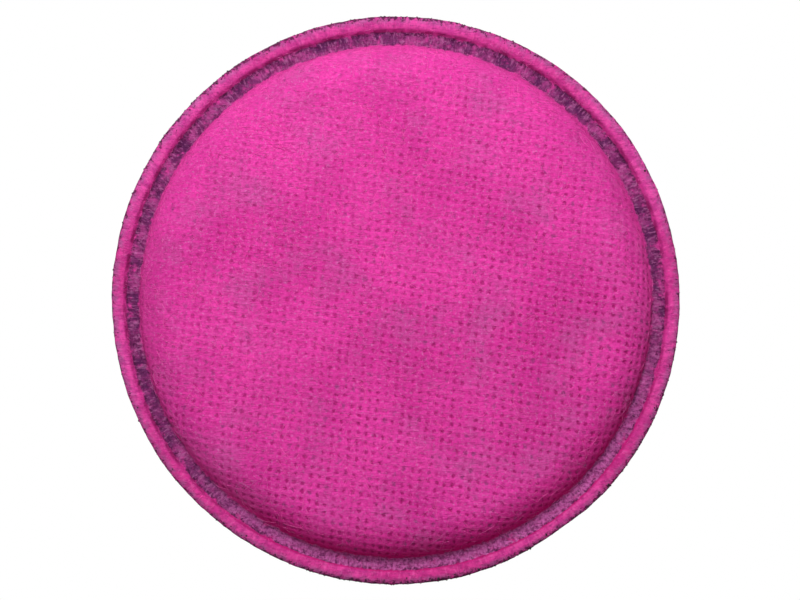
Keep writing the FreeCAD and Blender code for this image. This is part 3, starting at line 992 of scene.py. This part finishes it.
def with_bond_points(m, colour):
    """Small sunk spots of uneven strength and shape, dark partly as pressed web and partly as
    painted shade in the pits; at the dome's foot, painted shade in a deeper red, most on the lower
    side.
    """
    foot = m.profile.weld_inner
    half = 0.5
    cell = m.joined(m.math("ADD", m.bond_a, half), m.math("ADD", m.bond_b, half), 0.0)
    ragged = m.noise(m.web, 2.0, 3.0).node.outputs[1]
    wobble = m.vector("SUBTRACT", ragged, (half, half, half))
    wobble = m.vector("MULTIPLY", wobble, (0.75, 0.75, 0.0))
    offset = m.vector("SUBTRACT", m.vector("FRACTION", cell), (half, half, 0.0))
    distance = m.vector("LENGTH", m.vector("ADD", offset, wobble))
    chance = m.fed("ShaderNodeTexWhiteNoise", m.vector("FLOOR", cell))
    chance.noise_dimensions = "2D"
    strength = m.step(chance.outputs[0], 0.0, 0.6, 0.35, 1.0)
    # the spots' darkness is partly the pressed web, partly painted shade in the pits
    pressed_and_shaded_pits = m.share(m.step(distance, 0.36, 0.09), m.share(strength, m.pit_strength))
    lilac = m.step(m.parts(chance.outputs[1])[1], 0.76, 0.92)
    spot_colour = m.mix(lilac, srgb(144, 6, 84), srgb(134, 60, 112))
    in_dome = m.step(m.reach, foot, foot - 1.6)
    colour = m.mix(m.share(m.share(pressed_and_shaded_pits, 0.66), in_dome), colour, spot_colour)
    # painted shade at the dome's foot, strongest on the lower side
    painted_foot_shade = m.step(m.reach, foot - 2.4, foot - 0.1)
    painted_foot_shade = m.share(painted_foot_shade, m.by_painted_below(0.15, 0.70))
    return m.mix(painted_foot_shade, colour, srgb(180, 4, 100))


def with_weld(m, colour):
    """Crushed, grainy, greyed by the carbon in it, darkest along its outer crease with carbon
    specks and painted crease shade; painted lighter on the lower side.
    """
    web, outer = m.web, m.profile.weld_outer
    tone = m.patches(web, 0.35, 4.0, 0.6, 0.40, 0.60)
    melt = m.mix(tone, srgb(166, 62, 130), srgb(110, 36, 90))
    light_grains = m.patches(web, 1.3, 3.0, 0.7, 0.50, 0.66)
    melt = m.over(melt, light_grains, 0.55, 174, 102, 154)
    dense_place = m.shifted(web, 3.0, 71.0, 0.0)
    dense = m.patches(dense_place, 0.20, 4.0, 0.6, 0.44, 0.58)
    # painted light: the dark patches fade out on the lower side
    dense = m.share(dense, m.by_painted_below(0.62, 0.0))
    melt = m.mix(dense, melt, srgb(74, 32, 78))
    # painted light: lighter grains on the lower side
    painted_light_grains = m.patches(web, 1.7, 3.0, 0.7, 0.40, 0.60, 0.15, 1.0)
    melt = m.mix(m.share(m.painted_below, painted_light_grains), melt, srgb(200, 98, 170))
    dark = m.noise(m.shifted(web, 31.0, 7.0, 0.0), 1.15, 4.0, 0.75)
    # more dark specks along the outer crease: partly carbon, partly painted crease shade
    crease_specks_and_shade = m.step(m.reach, outer - 1.1, outer + 0.2, 0.02, 0.13)
    dark = m.step(m.math("ADD", dark, crease_specks_and_shade), 0.56, 0.68)
    melt = m.over(melt, dark, 0.85, 72, 22, 60)
    melt = m.over(melt, m.drawn_light, 0.40, 194, 112, 168)
    melt = m.over(melt, m.drawn_dark, 0.35, 84, 26, 70)
    # its borders are frayed, and the outer one gives way to the lighter bead on the lower side, as
    # painted light
    fray = m.math("SUBTRACT", m.noise(web, 1.1, 3.0, 0.6), 0.5)
    waves = m.math("SUBTRACT", m.noise(web, 0.42, 2.0, 0.5), 0.5)
    border = m.math("MULTIPLY_ADD", waves, 1.6, m.share(fray, 1.5))
    beyond = m.step(m.reach, outer - 0.2, outer + 0.4)
    painted_light_receding = m.share(beyond, m.share(m.painted_below, 0.6))
    weld = m.math("SUBTRACT", m.math("ADD", m.weld, border), painted_light_receding)
    return m.mix(m.step(weld, 0.2, 0.9), colour, melt)


def with_bead(m, colour):
    """Painted shade darkens its inner side, less on the lower side, where painted light also widens
    the lighter crest; its cut edge is dusted with carbon.
    """
    web, bead = m.web, m.bead
    # painted shade on the bead's inner slope, weaker on the lower side
    painted_inner_shade = m.share(m.step(bead, 0.50, 0.18), m.step(bead, 0.0, 0.06))
    painted_inner_shade = m.share(painted_inner_shade, m.by_painted_below(1.0, 0.25))
    uneven = m.patches(web, 0.35, 3.0, 0.5, 0.36, 0.62, 0.30, 0.82)
    colour = m.mix(m.share(painted_inner_shade, uneven), colour, srgb(118, 18, 76))
    tone = m.patches(web, 0.45, 3.0, 0.5, 0.40, 0.62)
    tint = m.mix(tone, srgb(230, 78, 166), srgb(198, 60, 146))
    stretch_place = m.shifted(m.around, 83.0, 19.0, 0.0)
    stretches = m.patches(stretch_place, 0.030, 2.0, 0.5, 0.42, 0.60)
    tint = m.over(tint, stretches, 0.50, 196, 38, 122)
    blotches = m.patches(web, 0.9, 4.0, 0.7, 0.48, 0.68)
    tint = m.over(tint, blotches, 0.55, 150, 56, 120)
    tint = m.over(tint, m.drawn_light, 0.30, 238, 120, 190)
    tint = m.over(tint, m.drawn_dark, 0.30, 150, 36, 104)
    # on the lower side the crest colour reaches further in, as painted light
    crest = m.step(m.math("MULTIPLY_ADD", m.painted_below, 0.22, bead), 0.22, 0.45)
    colour = m.mix(m.share(crest, 0.85), colour, tint)
    dusty = m.patches(web, 0.6, 4.0, 0.7, 0.38, 0.60)
    dusty = m.share(m.step(bead, 0.50, 0.80), dusty)
    colour = m.over(colour, dusty, 0.60, 158, 92, 144)
    dust = m.math("ADD", m.noise(web, 1.15, 4.0, 0.75), m.share(m.rim_grit, 0.09))
    dust = m.math("ADD", dust, m.step(bead, 0.56, 0.96, -0.13, 0.05))
    dust = m.math("ADD", dust, m.share(m.drawn_dark, 0.05))
    dust = m.share(m.step(dust, 0.575, 0.65), m.step(bead, 0.40, 0.6))
    return m.over(colour, dust, 0.80, 54, 26, 48)


def fibre_material(name):
    """Strands of the cover, a little lighter or darker than it, some greyed."""
    m = Material(name, roughness=0.85, specular=0.2)
    web = m.attribute("web")
    strand = m.parts(web)[2]
    place = m.vector("MULTIPLY", web, (1.0, 1.0, 0.0))
    colour = m.mix(m.step(strand, 0.1, 0.7), srgb(206, 50, 144), srgb(250, 112, 192))
    colour = m.mix(m.step(m.noise(place, 0.09, 4.0), 0.46, 0.66), colour, srgb(206, 116, 180))
    return m.finish(colour)


def web_material(name, light, dark, roughness, scale=900.0, stained=False):
    """A fibrous inner web, from its place on the object; stained purple near the rim."""
    m = Material(name, roughness=roughness, specular=0.2)
    place = m.object_place()
    x, _, z = m.parts(place)
    grain = m.step(m.noise(place, scale, 4.0, 0.65), 0.36, 0.64)
    colour = m.mix(grain, light, dark)
    if stained:
        away = m.vector("LENGTH", m.joined(x, z, 0.0))
        near_rim = m.step(away, (WELD_INNER - 3.0) * MM, WELD_INNER * MM)
        blotches = m.step(m.noise(place, 1400.0, 3.0), 0.4, 0.6)
        rim_tone = m.mix(blotches, srgb(122, 62, 100), srgb(70, 34, 62))
        colour = m.mix(near_rim, colour, rim_tone)
    normal = m.bump(m.noise(place, scale * 1.6, 3.0, 0.6), 0.0002, 0.6)
    return m.finish(colour, normal)


def plastic_material(name, base, roughness):
    """Moulded plastic with a fine grain and slight wear."""
    m = Material(name, roughness=roughness, specular=0.45)
    place = m.object_place()
    tone = m.step(m.noise(place, 140.0, 4.0), 0.35, 0.68)
    darker = tuple(c * 0.82 for c in base[:3]) + (1.0,)
    colour = m.mix(tone, base, darker)
    scuffs = m.noise(m.turned(place, 20, (500.0, 60.0, 900.0)), 1.0, 3.0, 0.6)
    rough = m.step(scuffs, 0.35, 0.7, roughness - 0.06, roughness + 0.10)
    normal = m.bump(m.noise(place, 5200.0, 2.0), 0.00002, 0.5)
    return m.finish(colour, normal, rough)


def dress(target, material):
    target.data.materials.clear()
    target.data.materials.append(material)


dress(front_cover, cover_material("front_cover", front_profile, (0.0, 0.0, 0.0)))
dress(rear_cover, cover_material("rear_cover", rear_profile, (260.0, 140.0, 0.0)))
strands = fibre_material("cover_fibres")
dress(front_fibres, strands)
dress(rear_fibres, strands)
web_looks = {
    "carbon": web_material("carbon_web", srgb(58, 44, 54), srgb(16, 12, 15), 0.75, scale=2600.0),
    "felt": web_material("felt", srgb(232, 228, 218), srgb(206, 202, 192), 0.95, stained=True),
    "scrim": web_material("scrim", srgb(240, 238, 232), srgb(214, 212, 206), 0.9, stained=True),
}
for name, piece in webs.items():
    dress(piece, web_looks[name.split("_")[1]])
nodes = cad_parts
fitting_plastic = plastic_material("fitting_plastic", srgb(112, 113, 116), 0.48)
dress(collar, fitting_plastic)
for node in ("clamp_flange", "baffle_plate"):
    dress(nodes[node], fitting_plastic)
dress(nodes["spacer_grid"], plastic_material("grid_plastic", srgb(222, 222, 216), 0.5))
dress(nodes["adhesive_ring"], plastic_material("adhesive", srgb(214, 196, 150), 0.35))


# ---- floor, light and camera

FLOOR_REACH = 3.0
FLOOR_GAP = 0.0006  # below the CAD part's lowest point, for the ragged edge that passes it
FADE_START, FADE_END = 0.08, 0.34  # where the lit ground around the object turns into backdrop
AMBIENT = 0.22
VIEW_WIDTH = 0.1479
CAMERA_PLACE = (0.00079, -0.6, 0.00006)


def floor_look():
    """Pale to the eye, darker to the light that bounces, and fading into the backdrop."""
    m = Material("floor", roughness=0.9, specular=0.2)
    seen = m.background_rays()
    grain = m.noise(m.object_place(), 30.0, 3.0)
    tone = m.mix(grain, (0.86, 0.86, 0.86, 1), (0.90, 0.90, 0.90, 1))
    tone = m.mix(seen, (0.16, 0.16, 0.16, 1), tone)
    away = m.vector("LENGTH", m.object_place())
    fade = m.math("MULTIPLY", m.step(away, FADE_START, FADE_END), seen)
    m.put(m.shader.inputs["Emission Color"], (1.0, 1.0, 1.0, 1.0))
    m.put(m.shader.inputs["Emission Strength"], fade)
    return m.finish(m.mix(fade, tone, (0.0, 0.0, 0.0, 1.0)))


def add_floor():
    reach, height = FLOOR_REACH, cad_low.z - FLOOR_GAP
    corners = [(x * reach, y * reach, height) for x, y in ((-1, -1), (1, -1), (1, 1), (-1, 1))]
    mesh = bpy.data.meshes.new("floor")
    mesh.from_pydata(corners, [], [(0, 1, 2, 3)])
    floor = add_object("floor", mesh)
    dress(floor, floor_look())


def add_world():
    """White to the eye and in reflections, and weak as a light."""
    world = bpy.data.worlds.new("studio")
    scene.world = world
    world.use_nodes = True
    tree = Nodes(world.node_tree)
    sky = tree.nodes["Background"].inputs
    tree.put(sky["Strength"], tree.step(tree.background_rays(), 0.0, 1.0, AMBIENT, 1.0))
    sky["Color"].default_value = (1, 1, 1, 1)


def area_light(name, place, target, size, watts):
    lamp = bpy.data.lights.new(name, "AREA")
    lamp.shape = "DISK"
    lamp.size = size
    lamp.energy = watts
    piece = bpy.data.objects.new(name, lamp)
    piece.location = place
    aim = Vector(target) - Vector(place)
    piece.rotation_euler = aim.to_track_quat("-Z", "Y").to_euler()
    scene.collection.objects.link(piece)


scene = bpy.context.scene
scene.view_settings.view_transform = "Standard"
add_floor()
add_world()
middle = (0, (cad_low.y + cad_high.y) / 2, 0)
area_light("key", (-0.035, -0.365, 0.265), middle, size=0.17, watts=1.85)
area_light("front_fill", (-0.10, -0.50, -0.03), middle, size=0.30, watts=0.8)
area_light("back_fill", (0.30, 0.50, 0.36), middle, size=0.5, watts=6.0)

camera_data = bpy.data.cameras.new("camera")
camera_data.type = "ORTHO"
camera_data.ortho_scale = VIEW_WIDTH
camera = bpy.data.objects.new("camera", camera_data)
camera.location = CAMERA_PLACE
camera.rotation_euler = (math.radians(90), 0, 0)
scene.collection.objects.link(camera)
scene.camera = camera
